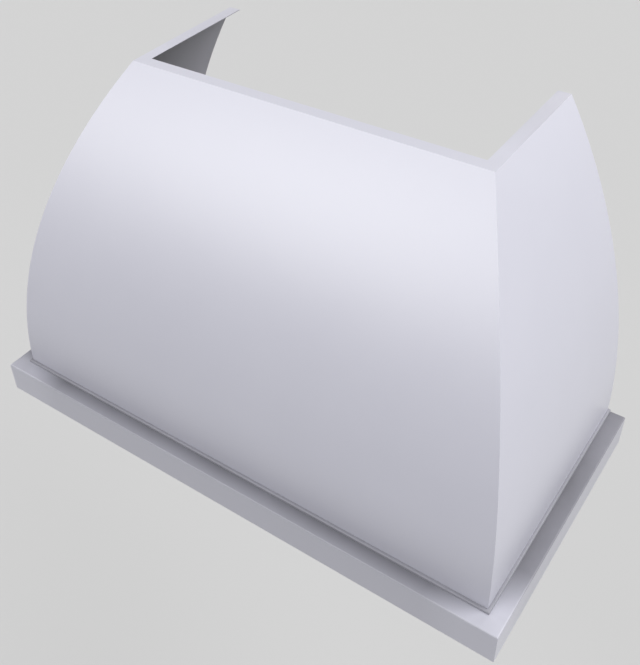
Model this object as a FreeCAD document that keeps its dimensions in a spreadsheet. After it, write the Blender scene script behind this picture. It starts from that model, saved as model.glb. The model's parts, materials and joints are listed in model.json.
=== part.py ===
import FreeCAD, Part
import math
import os
from types import SimpleNamespace

import Sketcher

# Wall-mount range hood: a barrel-shaped sheet-steel canopy on a flat rim, open at the top and at the back,
# with a liner, baffle filters, lamps, push buttons and a blower inside.
# X runs to the right, the wall is the plane of Y zero, the front is towards -Y, and Z is up.
# The origin is the centre of the four wall fixings. Each piece is drawn from the rim's ledge upwards.

doc = FreeCAD.newDocument("range_hood")
sheet = doc.addObject("Spreadsheet::Sheet", "Sizes")

# Driving sizes in millimetres; a value named count is a number of things.
driving_sizes = {
    # Rim and canopy
    "skin": 1.5,
    "rim_width": 1219.2,
    "rim_depth": 609.6,
    "rim_height": 76.2,
    "rim_return": 25.4,
    "rim_bend": 3.0,
    "ledge": 38.1,
    "canopy_height": 685.8,
    "top_width": 762.0,
    "top_depth": 304.8,
    "top_flange": 25.4,
    "foot_flange": 20.0,
    "trim_width": 6.0,
    "trim_height": 6.0,
    "trim_round": 2.5,
    "rivet_radius": 2.4,
    "rivet_head_radius": 4.6,
    "rivet_head_height": 1.6,
    "rivet_inset": 11.0,
    "rivet_margin": 60.0,
    "front_rivet_count": 6,
    "side_rivet_count": 4,
    # Wall plate and rear rail
    "fixing_height": 130.0,
    "fixing_spread": 812.8,
    "fixing_rise": 101.6,
    "fixing_hole_radius": 4.5,
    "plate_sheet": 3.0,
    "plate_rise": 240.0,
    "plate_flange": 22.0,
    "rail_flange": 30.0,
    "rail_screw_margin": 100.0,
    "rail_screw_count": 4,
    # Fits shared by all pieces
    "seat_gap": 0.3,
    "hole_clearance": 0.15,
    "running_clearance": 0.08,
    "overrun": 5.0,
    "screw_radius": 2.0,
    "screw_head_radius": 4.0,
    "screw_head_height": 2.0,
    "screw_grip": 5.0,
    # Liner pan
    "liner_sheet": 1.2,
    "liner_fit": 2.0,
    "liner_lip": 24.0,
    "recess_depth": 40.0,
    "recess_slope": 30.0,
    "recess_rear_slope": 6.0,
    "liner_screw_inset": 14.0,
    "liner_screw_margin": 90.0,
    "liner_front_screw_count": 5,
    "liner_side_screw_count": 3,
    # Baffle filters
    "opening_side": 149.6,
    "opening_setback": 173.6,
    "opening_rear": 62.0,
    "filter_count": 3,
    "filter_gap": 8.0,
    "filter_end_gap": 3.0,
    "filter_thickness": 22.0,
    "filter_sheet": 1.2,
    "filter_rail": 16.0,
    "baffle_count": 6,
    "baffle_width": 29.0,
    "baffle_height": 8.0,
    "baffle_sheet": 1.0,
    "pin_radius": 3.0,
    "pin_setback": 14.0,
    "hook_sheet": 4.0,
    "hook_rise": 8.0,
    "hook_web": 7.0,
    "catch_width": 30.0,
    "catch_foot": 8.0,
    "catch_sheet": 0.8,
    "catch_rise": 14.0,
    "catch_gap": 0.6,
    "handle_wire_radius": 2.5,
    "handle_width": 76.0,
    "handle_drop": 24.0,
    "handle_bend": 8.0,
    "handle_pin_bend": 4.0,
    "ear_sheet": 3.0,
    "ear_drop": 5.5,
    "ear_half_width": 4.5,
    # Lamps and controls
    "lamp_inset": 279.6,
    "apron_setback": 106.6,
    "lamp_radius": 35.0,
    "lamp_height": 45.0,
    "lamp_wall": 1.5,
    "lamp_crown": 8.0,
    "bezel_radius": 44.0,
    "bezel_opening_radius": 28.0,
    "bezel_thickness": 4.0,
    "bezel_round": 3.0,
    "lens_radius": 32.0,
    "lens_thickness": 2.8,
    "lens_seat": 1.8,
    "control_width": 250.0,
    "control_depth": 46.0,
    "control_thickness": 3.0,
    "control_corner": 8.0,
    "control_slot_width": 200.0,
    "control_slot_depth": 26.0,
    "button_count": 5,
    "button_pitch": 38.0,
    "button_radius": 7.0,
    "button_flange_radius": 9.0,
    "button_flange_thickness": 1.6,
    "button_proud": 2.6,
    "button_edge": 1.0,
    "button_lift": 0.2,
    "button_stem_radius": 3.0,
    "button_stem_height": 8.0,
    "button_travel": 2.0,
    "switch_box_width": 230.0,
    "switch_box_depth": 64.0,
    "switch_box_height": 42.0,
    "switch_box_flange": 8.0,
    "switch_block_width": 190.0,
    "switch_block_depth": 24.0,
    # Plenum and blower box
    "box_sheet": 1.2,
    "plenum_margin": 6.0,
    "plenum_rear": 44.0,
    "plenum_height": 75.0,
    "plenum_flange": 8.0,
    "box_width": 400.0,
    "box_setback": 51.0,
    "box_rear": 60.0,
    "box_height": 265.0,
    "box_flange": 14.0,
    # Blower, whose round pieces grow and shrink together with the run left for it
    "blower_run": 207.0,
    "scroll_gap": 18.0,
    "scroll_radius": 140.0,
    "scroll_step": 18.0,
    "scroll_width": 130.0,
    "scroll_sheet": 1.2,
    "scroll_flange": 12.0,
    "outlet_depth": 110.0,
    "impeller_radius": 74.0,
    "impeller_length": 112.0,
    "impeller_disc": 1.5,
    "blade_count": 24,
    "blade_depth": 15.0,
    "blade_sheet": 1.0,
    "blade_bow": 3.0,
    "impeller_ring": 3.0,
    "hub_radius": 14.0,
    "hub_length": 30.0,
    "inlet_radius": 60.0,
    "inlet_lip_radius": 10.0,
    "inlet_flange": 14.0,
    "shaft_radius": 4.0,
    "motor_radius": 46.0,
    "motor_length": 70.0,
    "motor_round": 10.0,
    "motor_flange": 12.0,
    "motor_flange_thickness": 3.0,
    "motor_screw_inset": 6.0,
    "shaft_hole_radius": 10.0,
    "shaft_depth": 50.0,
    # Duct collar and damper
    "collar_line": 160.0,
    "collar_radius": 88.9,
    "collar_sheet": 1.2,
    "collar_height": 90.0,
    "collar_flange": 98.0,
    "collar_screw_inset": 10.0,
    "rod_radius": 2.5,
    "rod_height": 30.0,
    "flap_sheet": 1.0,
    "flap_gap": 1.5,
    "knuckle_radius": 4.2,
    "knuckle_length": 20.0,
    "knuckle_gap": 1.0,
    "flap_setback": 5.6,
    "stop_width": 20.0,
    "stop_depth": 5.0,
    "stop_sheet": 1.5,
    # Wiring boxes
    "junction_line": 200.0,
    "junction_width": 120.0,
    "junction_depth": 90.0,
    "junction_height": 50.0,
    "gland_radius": 10.0,
    "gland_bore_radius": 5.0,
    "gland_nut_radius": 15.0,
    "gland_nut_length": 6.0,
    "gland_length": 24.0,
    "capacitor_radius": 20.0,
    "capacitor_length": 72.0,
    "capacitor_round": 4.0,
    "capacitor_foot_width": 30.0,
    "capacitor_foot_depth": 56.0,
}


class Size:
    # A length of the hood, kept as an expression of the driving sizes and as its present value.

    def __init__(self, text, value):
        self.text = text
        self.value = float(value)

    def __add__(self, other):
        return Size(f"({self.text} + {sized(other).text})", self.value + sized(other).value)

    def __sub__(self, other):
        return Size(f"({self.text} - {sized(other).text})", self.value - sized(other).value)

    def __mul__(self, other):
        return Size(f"({self.text} * {sized(other).text})", self.value * sized(other).value)

    def __truediv__(self, other):
        return Size(f"({self.text} / {sized(other).text})", self.value / sized(other).value)

    def __neg__(self):
        return Size(f"(0 - {self.text})", -self.value)

    __rmul__ = __mul__


def sized(value):
    if isinstance(value, Size):
        return value
    return Size(repr(float(value)), value)


def root(square):
    return Size(f"sqrt({square.text})", math.sqrt(square.value))


def sheet_sizes():
    found = {}
    for row, (name, value) in enumerate(driving_sizes.items(), start=1):
        sheet.set(f"A{row}", name)
        sheet.set(f"B{row}", str(value))
        sheet.setAlias(f"B{row}", name)
        found[name] = Size(f"Sizes.{name}", value)
    doc.recompute()
    return SimpleNamespace(**found)


size = sheet_sizes()
zero = Size("0", 0)
pieces = []


# Drawing helpers

def new_body(label, x=zero, y=zero, z=zero):
    body = doc.addObject("PartDesign::Body", label)
    body.Label = label
    body.setExpression("Placement.Base.x", x.text)
    body.setExpression("Placement.Base.y", y.text)
    body.setExpression("Placement.Base.z", (z - size.fixing_height).text)
    pieces.append(body)
    return body


def place_point(item, edge, corner, u, v):
    for kind, length in (("DistanceX", u), ("DistanceY", v)):
        rule = item.addConstraint(Sketcher.Constraint(kind, -1, 1, edge, corner, length.value))
        item.setExpression(f"Constraints[{rule}]", length.text)


def arc_edge(start, end, centre, turn):
    radius = (start - centre).Length
    first, last = (start, end) if turn > 0 else (end, start)
    first_angle = math.atan2(first.y - centre.y, first.x - centre.x)
    last_angle = math.atan2(last.y - centre.y, last.x - centre.x)
    if last_angle <= first_angle:
        last_angle += 2 * math.pi
    circle = Part.Circle(centre, FreeCAD.Vector(0, 0, 1), radius)
    return Part.ArcOfCircle(circle, first_angle, last_angle)


def flat_point(u, v):
    return FreeCAD.Vector(u.value, v.value, 0)


def draw_outline(item, points, closed):
    # A point is (u, v), reached by a straight line, or (u, v, centre u, centre v, turn), reached by an arc.
    followers = points[1:] + points[:1] if closed else points[1:]
    ends = []
    for here, there in zip(points, followers):
        start = flat_point(*here[:2])
        end = flat_point(*there[:2])
        if len(there) == 2:
            edge = item.addGeometry(Part.LineSegment(start, end), False)
            ends.append((edge, 1, 2))
            continue
        centre_u, centre_v, turn = there[2:]
        edge = item.addGeometry(arc_edge(start, end, flat_point(centre_u, centre_v), turn), False)
        ends.append((edge, 1, 2) if turn > 0 else (edge, 2, 1))
    joined = ends[1:] + ends[:1] if closed else ends[1:]
    for (edge, first, last), (next_edge, next_first, next_last) in zip(ends, joined):
        item.addConstraint(Sketcher.Constraint("Coincident", edge, last, next_edge, next_first))
    for (edge, first, last), point in zip(ends, points):
        place_point(item, edge, first, *point[:2])
    if not closed:
        edge, first, last = ends[-1]
        place_point(item, edge, last, *points[-1][:2])
    for (edge, first, last), here, there in zip(ends, points, followers):
        if len(there) == 2:
            continue
        chord = flat_point(*there[:2]) - flat_point(*here[:2])
        along_u = abs(chord.y) >= abs(chord.x)
        kind = "DistanceX" if along_u else "DistanceY"
        length = there[2] if along_u else there[3]
        rule = item.addConstraint(Sketcher.Constraint(kind, -1, 1, edge, 3, length.value))
        item.setExpression(f"Constraints[{rule}]", length.text)


def draw_circle(item, u, v, radius):
    circle = Part.Circle(flat_point(u, v), FreeCAD.Vector(0, 0, 1), radius.value)
    edge = item.addGeometry(circle, False)
    rule = item.addConstraint(Sketcher.Constraint("Radius", edge, radius.value))
    item.setExpression(f"Constraints[{rule}]", radius.text)
    place_point(item, edge, 3, u, v)


def rectangle(left, right, low, high):
    return [(left, low), (right, low), (right, high), (left, high)]


def sketch(body, plane, loops, at=(zero, zero, zero), closed=True):
    # A loop is a list of points, or a tuple (u, v, radius) for a circle.
    support = next(part for part in body.Origin.OriginFeatures if part.Role == plane)
    item = body.newObject("Sketcher::SketchObject", "outline")
    item.AttachmentSupport = [(support, "")]
    item.MapMode = "FlatFace"
    for axis, offset in zip("xyz", at):
        item.setExpression(f"AttachmentOffset.Base.{axis}", offset.text)
    for loop in loops:
        if isinstance(loop, tuple):
            draw_circle(item, *loop)
        else:
            draw_outline(item, loop, closed)
    return item


def pad(body, profile, length, both_ways=False, backwards=False):
    feature = body.newObject("PartDesign::Pad", "pad")
    feature.Profile = profile
    feature.setExpression("Length", length.text)
    feature.SideType = "Symmetric" if both_ways else "One side"
    feature.Reversed = backwards
    return feature


def cut(body, profile, length=None):
    # Without a length the cut goes right through on both sides; with one it goes against the plane's normal.
    feature = body.newObject("PartDesign::Pocket", "cut")
    feature.Profile = profile
    if length is None:
        feature.Type = "ThroughAll"
        feature.SideType = "Symmetric"
    else:
        feature.setExpression("Length", length.text)
    return feature


def revolve(body, profile, axis="V_Axis"):
    feature = body.newObject("PartDesign::Revolution", "turned")
    feature.Profile = profile
    feature.ReferenceAxis = (profile, [axis])
    feature.Angle = 360
    return feature


def loft(body, kind, first, last):
    feature = body.newObject(kind, "loft")
    feature.Profile = first
    feature.Sections = [last]
    feature.Ruled = True
    return feature


def spread(count, length):
    # Places evenly spaced over a length, about its middle.
    last = count - 1
    return [length * (index / last) - length / 2 for index in range(count)]


def mirrored(points, side):
    # The outline itself for the right side (1), or its mirror image for the left side (-1).
    if side > 0:
        return points
    return [(-point[0], point[1]) if len(point) == 2
            else (-point[0], point[1], -point[2], point[3], -point[4]) for point in points]


# Shared places, measured from the wall, the middle and the ledge

half_rim = size.rim_width / 2
canopy_width = size.rim_width - size.ledge * 2
canopy_depth = size.rim_depth - size.ledge
half_foot = canopy_width / 2
half_top = size.top_width / 2
front_run = canopy_depth - size.top_depth
side_run = half_foot - half_top
rise_square = size.canopy_height * size.canopy_height
front_radius = (front_run * front_run + rise_square) / (front_run * 2)
side_radius = (side_run * side_run + rise_square) / (side_run * 2)
front_centre = front_radius - canopy_depth
side_centre = half_foot - side_radius
ledge_reach = size.ledge + size.foot_flange
rail_half = half_foot - size.foot_flange - size.seat_gap
lip_level = size.skin - size.rim_height
deck_level = size.recess_depth - size.rim_height
deck_top = deck_level + size.liner_sheet
plenum_top = deck_top + size.plenum_height
opening_half = half_rim - size.opening_side
opening_front = size.rim_depth - size.opening_setback
apron_line = size.rim_depth - size.apron_setback
lamp_side = half_rim - size.lamp_inset
box_front = opening_front - size.box_setback
blower_scale = (box_front - size.collar_line - size.scroll_gap) / size.blower_run
box_height = size.box_height * blower_scale
box_top = plenum_top + box_height
plenum_half = opening_half + size.plenum_margin
junction_side = (size.box_width / 2 + size.box_flange + plenum_half) / 2
rivet_hole = size.rivet_radius + size.hole_clearance
screw_hole = size.screw_radius + size.hole_clearance


def front_face(height, inset):
    reach = front_radius - inset
    return front_centre - root(reach * reach - height * height)


def side_face(height, inset):
    reach = side_radius - inset
    return side_centre + root(reach * reach - height * height)


def rivet_places():
    front_length = canopy_width - size.rivet_margin * 2
    side_length = canopy_depth - size.rivet_margin * 2
    front = [(x, size.rivet_inset - canopy_depth)
             for x in spread(driving_sizes["front_rivet_count"], front_length)]
    depths = [offset - canopy_depth / 2
              for offset in spread(driving_sizes["side_rivet_count"], side_length)]
    return front, depths


def liner_screw_places():
    across = spread(driving_sizes["liner_front_screw_count"], size.rim_width - size.liner_screw_margin * 2)
    along = spread(driving_sizes["liner_side_screw_count"], size.rim_depth - size.liner_screw_margin * 2)
    front = [(x, size.liner_screw_inset - size.rim_depth) for x in across]
    depths = [offset - size.rim_depth / 2 for offset in along]
    rear = [(x, -(size.plate_sheet + size.liner_screw_inset)) for x in across]
    return front, depths, rear


def mitre_front(body, corner_x, corner_y, start, reach, level=None, depth=None):
    # Clears both ends of a front piece along lines at 45 degrees, behind the start of the mitre.
    loops = [mirrored([(corner_x - start, start - corner_y),
                       (corner_x - reach, reach - corner_y),
                       (corner_x + size.overrun * 2, reach - corner_y),
                       (corner_x + size.overrun * 2, start - corner_y)], side) for side in (1, -1)]
    cut(body, sketch(body, "XY_Plane", loops, at=(zero, zero, level or zero)), depth)


def mitre_side(body, side, corner_x, corner_y, start, reach, level=None, depth=None):
    # Clears the front end of a side piece along the same line.
    loop = mirrored([(corner_x - start, start - corner_y),
                     (corner_x - reach, reach - corner_y),
                     (corner_x - reach, -corner_y - size.overrun * 2),
                     (corner_x - start, -corner_y - size.overrun * 2)], side)
    cut(body, sketch(body, "XY_Plane", [loop], at=(zero, zero, level or zero)), depth)


# Canopy

def front_panel():
    body = new_body("front_panel")
    under_top = size.canopy_height - size.skin
    profile = [
        (-canopy_depth, zero, front_centre, zero, 1),
        (size.foot_flange - canopy_depth, zero),
        (size.foot_flange - canopy_depth, size.skin),
        (front_face(size.skin, size.skin), size.skin),
        (front_face(under_top, size.skin), under_top, front_centre, zero, -1),
        (size.top_flange - size.top_depth, under_top),
        (size.top_flange - size.top_depth, size.canopy_height),
        (-size.top_depth, size.canopy_height),
    ]
    pad(body, sketch(body, "YZ_Plane", [profile]), canopy_width, both_ways=True)
    beyond = [
        (half_foot, zero, side_centre, zero, -1),
        (half_foot, -size.overrun),
        (half_foot + size.overrun, -size.overrun),
        (half_foot + size.overrun, size.canopy_height + size.overrun),
        (half_top, size.canopy_height + size.overrun),
        (half_top, size.canopy_height),
    ]
    cut(body, sketch(body, "XZ_Plane", [mirrored(beyond, 1), mirrored(beyond, -1)]))
    mitre_canopy(body, mitre_front)
    front, depths = rivet_places()
    cut(body, sketch(body, "XY_Plane", [(x, y, rivet_hole) for x, y in front],
                     at=(zero, zero, size.skin)), size.skin + size.overrun)


def mitre_canopy(body, mitre):
    # The turned-in flanges at the top and at the foot meet on 45 degree lines.
    top_start = size.top_depth + front_face(size.canopy_height, size.skin)
    mitre(body, half_top, size.top_depth, top_start, size.top_flange + size.overrun,
          size.canopy_height + size.overrun, size.skin + size.overrun)
    mitre(body, half_foot, canopy_depth, size.skin, size.foot_flange + size.overrun,
          size.skin, size.skin + size.overrun)


def side_panel(label, side):
    body = new_body(label)
    under_top = size.canopy_height - size.skin
    profile = [
        (half_foot, zero, side_centre, zero, -1),
        (half_foot - size.foot_flange, zero),
        (half_foot - size.foot_flange, size.skin),
        (side_face(size.skin, size.skin), size.skin),
        (side_face(under_top, size.skin), under_top, side_centre, zero, 1),
        (half_top - size.top_flange, under_top),
        (half_top - size.top_flange, size.canopy_height),
        (half_top, size.canopy_height),
    ]
    pad(body, sketch(body, "XZ_Plane", [mirrored(profile, side)]), canopy_depth)
    beyond = [
        (front_face(zero, size.skin), zero, front_centre, zero, 1),
        (front_face(zero, size.skin), -size.overrun),
        (-canopy_depth - size.overrun, -size.overrun),
        (-canopy_depth - size.overrun, size.canopy_height + size.overrun),
        (front_face(size.canopy_height, size.skin), size.canopy_height + size.overrun),
        (front_face(size.canopy_height, size.skin), under_top),
        (front_face(under_top, size.skin), under_top),
    ]
    cut(body, sketch(body, "YZ_Plane", [beyond]))
    mitre_canopy(body, lambda piece, *sizes: mitre_side(piece, side, *sizes))
    front, depths = rivet_places()
    line = (half_foot - size.rivet_inset) * side
    cut(body, sketch(body, "XY_Plane", [(line, y, rivet_hole) for y in depths],
                     at=(zero, zero, size.skin)), size.skin + size.overrun)


def canopy_rivets():
    body = new_body("canopy_rivets")
    front, depths = rivet_places()
    line = half_foot - size.rivet_inset
    places = front + [(line, y) for y in depths] + [(-line, y) for y in depths]
    below = -size.skin - size.rivet_head_height
    heads = [(x, y, size.rivet_head_radius) for x, y in places]
    shanks = [(x, y, size.rivet_radius) for x, y in places]
    pad(body, sketch(body, "XY_Plane", heads, at=(zero, zero, below)), size.rivet_head_height)
    pad(body, sketch(body, "XY_Plane", shanks, at=(zero, zero, -size.skin)), size.skin * 2)
    pad(body, sketch(body, "XY_Plane", heads, at=(zero, zero, size.skin)), size.rivet_head_height)


# Rim

def rim_profile(outer):
    # The folded band: ledge, rounded outer edge, upright face, rounded lower edge and return.
    bend = size.rim_bend
    inner_bend = outer - bend
    low = -size.rim_height
    return [
        (outer - ledge_reach, zero),
        (outer - ledge_reach, -size.skin),
        (inner_bend, -size.skin),
        (outer - size.skin, -bend, inner_bend, -bend, -1),
        (outer - size.skin, low + bend),
        (inner_bend, low + size.skin, inner_bend, low + bend, -1),
        (outer - size.rim_return, low + size.skin),
        (outer - size.rim_return, low),
        (inner_bend, low),
        (outer, low + bend, inner_bend, low + bend, 1),
        (outer, -bend),
        (inner_bend, zero, inner_bend, -bend, 1),
    ]


def rim_holes(body, rivets, screws):
    # Rivet holes through the ledge, and screw holes through the return below it.
    deep = size.skin + size.overrun
    cut(body, sketch(body, "XY_Plane", [(x, y, rivet_hole) for x, y in rivets]), deep)
    cut(body, sketch(body, "XY_Plane", [(x, y, screw_hole) for x, y in screws],
                     at=(zero, zero, lip_level)), deep)


def front_rim():
    body = new_body("front_rim")
    profile = mirrored(rim_profile(size.rim_depth), -1)
    pad(body, sketch(body, "YZ_Plane", [profile]), size.rim_width, both_ways=True)
    mitre_front(body, half_rim, size.rim_depth, -size.overrun, ledge_reach + size.overrun)
    rivets, rivet_depths = rivet_places()
    screws, screw_depths, rear_screws = liner_screw_places()
    rim_holes(body, rivets, screws)


def side_rim(label, side):
    body = new_body(label)
    pad(body, sketch(body, "XZ_Plane", [mirrored(rim_profile(half_rim), side)]), size.rim_depth)
    mitre_side(body, side, half_rim, size.rim_depth, -size.overrun, ledge_reach + size.overrun)
    rivets, rivet_depths = rivet_places()
    screws, screw_depths, rear_screws = liner_screw_places()
    rivet_line = (half_foot - size.rivet_inset) * side
    screw_line = (half_rim - size.liner_screw_inset) * side
    rim_holes(body, [(rivet_line, y) for y in rivet_depths], [(screw_line, y) for y in screw_depths])


def trim_profile(inner):
    outer = inner + size.trim_width
    shoulder = outer - size.trim_round
    drop = size.trim_height - size.trim_round
    return [
        (inner, zero),
        (outer, zero),
        (outer, drop),
        (shoulder, size.trim_height, shoulder, drop, 1),
        (inner, size.trim_height),
    ]


def foot_trim():
    reach = size.trim_width + size.overrun
    corner_x = half_foot + size.trim_width
    corner_y = canopy_depth + size.trim_width
    front = new_body("front_foot_trim")
    profile = mirrored(trim_profile(canopy_depth), -1)
    pad(front, sketch(front, "YZ_Plane", [profile]), corner_x * 2, both_ways=True)
    mitre_front(front, corner_x, corner_y, -size.overrun, reach)
    for label, side in (("left_foot_trim", -1), ("right_foot_trim", 1)):
        body = new_body(label)
        pad(body, sketch(body, "XZ_Plane", [mirrored(trim_profile(half_foot), side)]), corner_y)
        mitre_side(body, side, corner_x, corner_y, -size.overrun, reach)


# Wall plate and rear rail

def rail_screw_places():
    length = (rail_half - size.rail_screw_margin) * 2
    return [(x, -size.rim_height / 2) for x in spread(driving_sizes["rail_screw_count"], length)]


def wall_plate():
    body = new_body("wall_plate")
    inset = size.skin + size.seat_gap
    foot = size.skin + size.seat_gap
    outline = [
        (-rail_half, -size.rim_height),
        (rail_half, -size.rim_height),
        (rail_half, foot),
        (side_face(foot, inset), foot),
        (side_face(size.plate_rise, inset), size.plate_rise, side_centre, zero, 1),
        (-side_face(size.plate_rise, inset), size.plate_rise),
        (-side_face(foot, inset), foot, -side_centre, zero, 1),
        (-rail_half, foot),
    ]
    across = size.fixing_spread / 2
    apart = size.fixing_rise / 2
    fixings = [(across * side, size.fixing_height + apart * up, size.fixing_hole_radius)
               for side in (-1, 1) for up in (-1, 1)]
    screws = [(x, z, screw_hole) for x, z in rail_screw_places()]
    pad(body, sketch(body, "XZ_Plane", [outline] + fixings + screws), size.plate_sheet)
    reach = side_face(size.plate_rise, inset)
    flange = rectangle(-reach, reach, size.plate_rise - size.plate_sheet, size.plate_rise)
    pad(body, sketch(body, "XZ_Plane", [flange]), size.plate_flange)


def rear_rail():
    body = new_body("rear_rail")
    web = -size.plate_sheet
    profile = [
        (web, -size.rim_height),
        (web, zero),
        (web - size.rail_flange, zero),
        (web - size.rail_flange, -size.skin),
        (web - size.skin, -size.skin),
        (web - size.skin, lip_level),
        (web - size.rim_return, lip_level),
        (web - size.rim_return, -size.rim_height),
    ]
    pad(body, sketch(body, "YZ_Plane", [profile]), rail_half * 2, both_ways=True)
    web_screws = [(x, z, screw_hole) for x, z in rail_screw_places()]
    cut(body, sketch(body, "XZ_Plane", web_screws, at=(zero, zero, size.plate_sheet + size.rail_flange)),
        size.plate_sheet + size.rail_flange)
    front, depths, rear = liner_screw_places()
    cut(body, sketch(body, "XY_Plane", [(x, y, screw_hole) for x, y in rear],
                     at=(zero, zero, lip_level)), size.skin + size.overrun)


def rail_screws():
    body = new_body("rail_screws")
    face = size.plate_sheet + size.skin
    heads = [(x, z, size.screw_head_radius) for x, z in rail_screw_places()]
    shanks = [(x, z, size.screw_radius) for x, z in rail_screw_places()]
    pad(body, sketch(body, "XZ_Plane", heads, at=(zero, zero, face)), size.screw_head_height)
    pad(body, sketch(body, "XZ_Plane", shanks, at=(zero, zero, size.seat_gap)), face - size.seat_gap)


# Liner pan

def liner_pan():
    body = new_body("liner_pan")
    sheet_wall = size.liner_sheet
    side = half_rim - size.skin - size.liner_fit
    front = size.skin + size.liner_fit - size.rim_depth
    rear = -(size.plate_sheet + size.skin + size.liner_fit)
    lip_width = size.liner_lip
    mouth = rectangle(lip_width - side, side - lip_width, front + lip_width, rear - lip_width)
    inner_side = side - lip_width - size.recess_slope
    inner_front = front + lip_width + size.recess_slope
    inner_rear = rear - lip_width - size.recess_rear_slope
    ceiling = rectangle(-inner_side, inner_side, inner_front, inner_rear)

    def grown(outline, growth):
        (left, low), (right, high) = outline[0], outline[2]
        return rectangle(left - growth, right + growth, low - growth, high + growth)

    lower = sketch(body, "XY_Plane", [grown(mouth, sheet_wall)], at=(zero, zero, lip_level))
    upper = sketch(body, "XY_Plane", [grown(ceiling, sheet_wall)], at=(zero, zero, deck_top))
    loft(body, "PartDesign::AdditiveLoft", lower, upper)
    inside_lower = sketch(body, "XY_Plane", [mouth], at=(zero, zero, lip_level))
    inside_upper = sketch(body, "XY_Plane", [ceiling], at=(zero, zero, deck_level))
    loft(body, "PartDesign::SubtractiveLoft", inside_lower, inside_upper)
    lip = [rectangle(-side, side, front, rear), mouth]
    pad(body, sketch(body, "XY_Plane", lip, at=(zero, zero, lip_level)), sheet_wall)
    lamps = [(lamp_side * way, -apron_line, size.lamp_radius + size.liner_fit) for way in (-1, 1)]
    slot_half = size.control_slot_width / 2
    slot = rectangle(-slot_half, slot_half, -apron_line - size.control_slot_depth / 2,
                     size.control_slot_depth / 2 - apron_line)
    opening = rectangle(-opening_half, opening_half, -opening_front, -size.opening_rear)
    front_screws, depths, rear_screws = liner_screw_places()
    line = half_rim - size.liner_screw_inset
    places = front_screws + rear_screws + [(line, y) for y in depths] + [(-line, y) for y in depths]
    screws = [(x, y, screw_hole) for x, y in places]
    cut(body, sketch(body, "XY_Plane", [opening, slot] + lamps + screws))


def liner_screws():
    body = new_body("liner_screws")
    front, depths, rear = liner_screw_places()
    line = half_rim - size.liner_screw_inset
    places = front + rear + [(line, y) for y in depths] + [(-line, y) for y in depths]
    heads = [(x, y, size.screw_head_radius) for x, y in places]
    shanks = [(x, y, size.screw_radius) for x, y in places]
    pad(body, sketch(body, "XY_Plane", heads, at=(zero, zero, -size.rim_height - size.screw_head_height)),
        size.screw_head_height)
    pad(body, sketch(body, "XY_Plane", shanks, at=(zero, zero, -size.rim_height)), size.screw_grip)


# Baffle filters

filter_count = driving_sizes["filter_count"]
filter_width = (opening_half * 2 - size.filter_gap * (filter_count + 1)) / filter_count
filter_depth = opening_front - size.opening_rear - size.filter_end_gap * 2
filter_pitch = filter_width + size.filter_gap
pin_line = -(size.opening_rear + size.filter_end_gap + size.pin_setback)
pin_level = deck_level + size.filter_thickness / 2
filter_front = size.pin_setback - filter_depth
handle_line = filter_front + size.filter_rail / 2
handle_level = -size.filter_thickness / 2 - size.ear_drop
handle_half = size.handle_width / 2
ear_start = handle_half + size.handle_pin_bend + size.hole_clearance


def filter_frame(label, x):
    # Drawn about the middle of its hinge pins.
    body = new_body(label, x, pin_line, pin_level)
    half = filter_width / 2
    low = -size.filter_thickness / 2
    outer = rectangle(-half, half, filter_front, size.pin_setback)
    inner = rectangle(size.filter_rail - half, half - size.filter_rail,
                      filter_front + size.filter_rail, size.pin_setback - size.filter_rail)
    pad(body, sketch(body, "XY_Plane", [outer, inner], at=(zero, zero, low)), size.filter_thickness)
    wall = size.filter_sheet
    channel = rectangle(wall - half, half - wall, filter_front + wall, size.pin_setback - wall)
    cut(body, sketch(body, "XY_Plane", [channel], at=(zero, zero, -low - wall)),
        size.filter_thickness - wall * 2)
    pin_length = (size.filter_gap - size.hook_sheet) / 2 + size.hook_sheet / 2 - size.seat_gap
    for way in (1, -1):
        circle = [(zero, zero, size.pin_radius)]
        pad(body, sketch(body, "YZ_Plane", circle, at=(zero, zero, (half - wall) * way)),
            pin_length + wall, backwards=way < 0)
    ear = [
        (handle_line + size.ear_half_width, low),
        (handle_line - size.ear_half_width, low),
        (handle_line - size.ear_half_width, handle_level),
        (handle_line + size.ear_half_width, handle_level, handle_line, handle_level, 1),
    ]
    hole = (handle_line, handle_level, size.handle_wire_radius + size.running_clearance)
    for way in (1, -1):
        pad(body, sketch(body, "YZ_Plane", [ear, hole], at=(zero, zero, ear_start * way)),
            size.ear_sheet, backwards=way < 0)


def filter_baffles(label, x):
    # Two layers of channels, the upper ones turned over the gaps between the lower ones.
    body = new_body(label, x, pin_line, pin_level)
    count = driving_sizes["baffle_count"]
    wall = size.filter_sheet
    pitch = (filter_width - size.filter_rail * 2) / count
    half = size.baffle_width / 2
    thin = size.baffle_sheet
    floor = wall - size.filter_thickness / 2
    start = -(size.pin_setback - wall - size.seat_gap)
    length = filter_depth - wall * 2 - size.seat_gap * 2
    for layer, upright in ((count, 1), (count - 1, -1)):
        outline = baffle_outline(half, thin * upright, floor * upright, size.baffle_height * upright)
        for middle in spread(layer, pitch * (layer - 1)):
            pad(body, sketch(body, "XZ_Plane", [outline], at=(middle, zero, start)), length)


def baffle_outline(half, thin, floor, height):
    wall = half - size.baffle_sheet
    return [
        (-half, floor),
        (half, floor),
        (half, floor + height),
        (wall, floor + height),
        (wall, floor + thin),
        (-wall, floor + thin),
        (-wall, floor + height),
        (-half, floor + height),
    ]


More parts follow.
